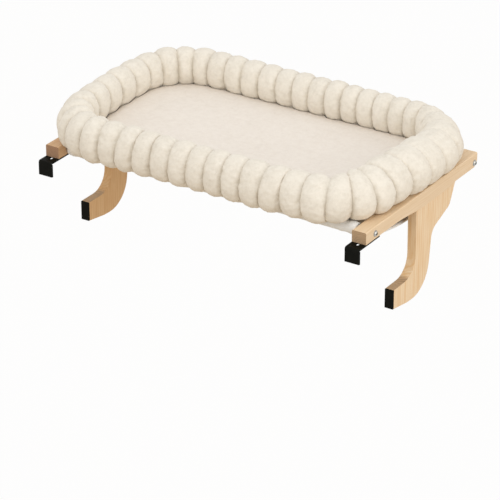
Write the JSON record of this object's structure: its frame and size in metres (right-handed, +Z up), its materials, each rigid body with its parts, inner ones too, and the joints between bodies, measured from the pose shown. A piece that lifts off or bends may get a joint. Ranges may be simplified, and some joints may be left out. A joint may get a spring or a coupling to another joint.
{
  "type": "pet hammock",
  "caption": "Window-sill cat perch: two wooden hook brackets and cross tubes carry a cloth sling and a plush cushion with a lobed rim.",
  "frame": {"origin": "on the wall face and the sill's top face, midway between the two brackets", "axes": "+X along the window sill, +Y from the wall into the room, +Z up"},
  "size_m": [0.6272, 0.3912, 0.2444],
  "materials": {
    "pine": "satin",
    "pine_board": "satin",
    "beech": "matte",
    "rubber": "matte",
    "black_steel": "satin",
    "foam": "matte",
    "zinc_steel": "bright",
    "brass": "satin",
    "nylon_tape": "matte",
    "tube_steel": "satin",
    "sling_cloth": "matte",
    "pad_plush": "matte",
    "rim_plush": "matte"
  },
  "bodies": {
    "frame": {"left_arm": "pine", "right_arm": "pine", "left_leg": "pine_board", "right_leg": "pine_board", "left_dowels": "beech", "right_dowels": "beech", "left_foot_pad": "rubber", "right_foot_pad": "rubber", "left_clamp_screws": "zinc_steel", "right_clamp_screws": "zinc_steel", "left_clamp_inserts": "brass", "right_clamp_inserts": "brass", "left_tube_bolts": "zinc_steel", "right_tube_bolts": "zinc_steel", "left_hook_tape": "nylon_tape", "right_hook_tape": "nylon_tape", "front_tube": "tube_steel", "rear_tube": "tube_steel", "front_tube_plugs": "zinc_steel", "rear_tube_plugs": "zinc_steel", "sling": "sling_cloth", "centre_pad": "pad_plush", "front_bolster": "rim_plush", "rear_bolster": "rim_plush", "left_bolster": "rim_plush", "right_bolster": "rim_plush"},
    "left_hook": {"left_hook_plate": "black_steel", "left_hook_pad": "foam"},
    "right_hook": {"right_hook_plate": "black_steel", "right_hook_pad": "foam"}
  },
  "joints": [
    {"name": "left_hook_slide", "type": "slide", "parent": "frame", "child": "left_hook", "axis": [0, 1, 0], "range_m": [-0.011, 0.011]},
    {"name": "right_hook_slide", "type": "slide", "parent": "frame", "child": "right_hook", "axis": [0, 1, 0], "range_m": [-0.011, 0.011]}
  ]
}
